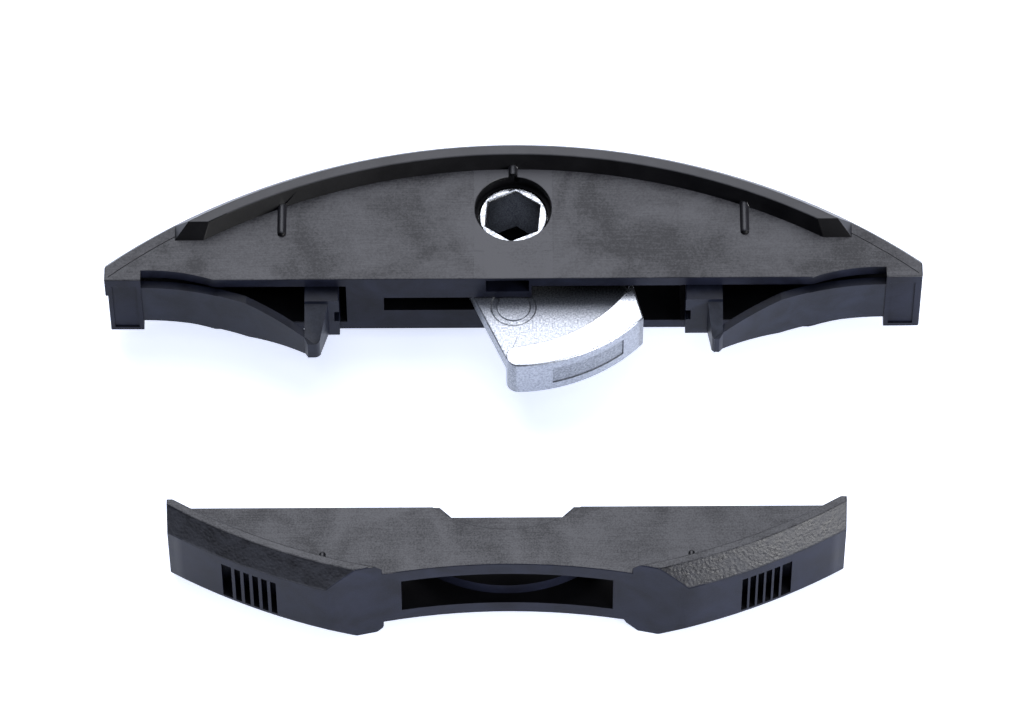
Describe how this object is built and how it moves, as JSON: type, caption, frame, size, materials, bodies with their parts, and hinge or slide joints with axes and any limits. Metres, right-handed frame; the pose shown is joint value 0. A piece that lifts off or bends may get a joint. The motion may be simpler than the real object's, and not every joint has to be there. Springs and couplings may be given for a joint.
{
  "type": "detachable panel connector",
  "caption": "Two-part knock-down panel connector for T-slot grooves: arc-backed lever half with a turning cam claw and sprung arms, and a shorter counter half.",
  "frame": {"origin": "on the supporting surface, under the middle of the two halves laid apart", "axes": "+X along the groove, +Y from the counter half to the lever half, +Z out of the plate with the key hole"},
  "size_m": [0.0634, 0.0406, 0.0097],
  "materials": {
    "housing_plastic": "moulded black glass-filled plastic, fine matte",
    "arm_plastic": "moulded black glass-filled plastic, smooth matte",
    "lever_zinc": "die-cast zinc, bright and finely grained",
    "counter_plastic": "moulded black glass-filled plastic, fine sparked texture"
  },
  "bodies": {
    "lever_half": {"lever_housing": "housing_plastic"},
    "left_arm": {"left_sprung_arm": "arm_plastic"},
    "right_arm": {"right_sprung_arm": "arm_plastic"},
    "lever": {"cam_lever": "lever_zinc"},
    "counter_half": {"counter_housing": "counter_plastic"}
  },
  "joints": [
    {"name": "lever_turn", "type": "hinge", "parent": "lever_half", "child": "lever", "pos_m": [0, 0.01388, 0.00485], "axis": [0, 0, 1], "range_deg": [-50, 62]},
    {"name": "left_arm_flex", "type": "hinge", "parent": "lever_half", "child": "left_arm", "pos_m": [-0.0289, 0.00776, 0.00485], "axis": [0, 0, 1], "range_deg": [0, 14], "stiffness_Nm_per_rad": 0.05},
    {"name": "right_arm_flex", "type": "hinge", "parent": "lever_half", "child": "right_arm", "pos_m": [0.0289, 0.00776, 0.00485], "axis": [0, 0, -1], "range_deg": [0, 14], "stiffness_Nm_per_rad": 0.05},
    {"name": "halves_together", "type": "slide", "parent": "lever_half", "child": "counter_half", "axis": [0.029, 0.9996, 0], "range_m": [0, 0.0134]}
  ]
}
